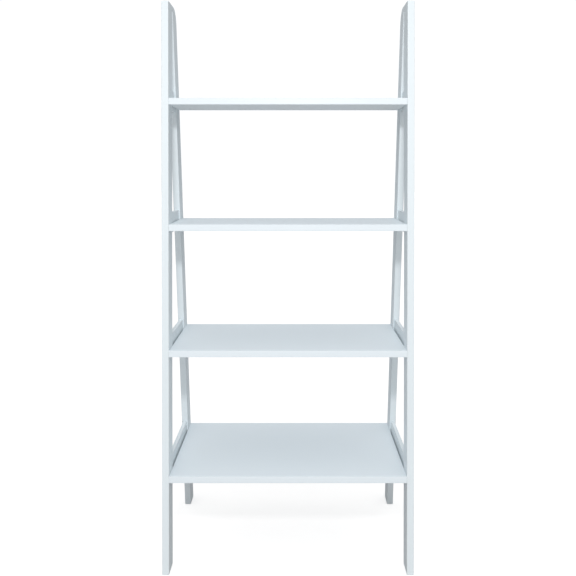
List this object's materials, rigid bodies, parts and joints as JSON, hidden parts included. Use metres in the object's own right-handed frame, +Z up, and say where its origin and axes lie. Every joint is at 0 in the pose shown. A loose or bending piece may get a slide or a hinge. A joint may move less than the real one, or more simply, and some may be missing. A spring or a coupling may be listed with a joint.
{
  "type": "ladder shelf",
  "caption": "Freestanding ladder bookcase with A-shaped side frames, rounded heads and flat open shelves that get deeper towards the floor.",
  "frame": {"origin": "on the floor, under the middle of the bookcase", "axes": "+X along the shelves to the viewer's right, +Y from the front to the back, +Z up"},
  "size_m": [0.61, 0.4294, 1.38],
  "materials": {
    "painted_frame": "white satin paint over solid wood",
    "painted_shelf": "white satin paint over board",
    "beech_dowel": "raw fluted beech",
    "zinc_steel": "bright zinc plate"
  },
  "bodies": {
    "root": {"left_front_stile": "painted_frame", "left_rear_stile": "painted_frame", "left_head": "painted_frame", "left_rail_1": "painted_frame", "left_rail_2": "painted_frame", "left_rail_3": "painted_frame", "left_rail_4": "painted_frame", "right_front_stile": "painted_frame", "right_rear_stile": "painted_frame", "right_head": "painted_frame", "right_rail_1": "painted_frame", "right_rail_2": "painted_frame", "right_rail_3": "painted_frame", "right_rail_4": "painted_frame", "shelf_1": "painted_shelf", "shelf_2": "painted_shelf", "shelf_3": "painted_shelf", "shelf_4": "painted_shelf", "left_head_dowels": "beech_dowel", "left_rail_dowels": "beech_dowel", "right_head_dowels": "beech_dowel", "right_rail_dowels": "beech_dowel", "shelf_bolts_1": "zinc_steel", "barrel_nuts_1": "zinc_steel", "shelf_dowels_1": "beech_dowel", "shelf_bolts_2": "zinc_steel", "barrel_nuts_2": "zinc_steel", "shelf_dowels_2": "beech_dowel", "shelf_bolts_3": "zinc_steel", "barrel_nuts_3": "zinc_steel", "shelf_dowels_3": "beech_dowel", "shelf_bolts_4": "zinc_steel", "barrel_nuts_4": "zinc_steel", "shelf_dowels_4": "beech_dowel"}
  },
  "joints": []
}
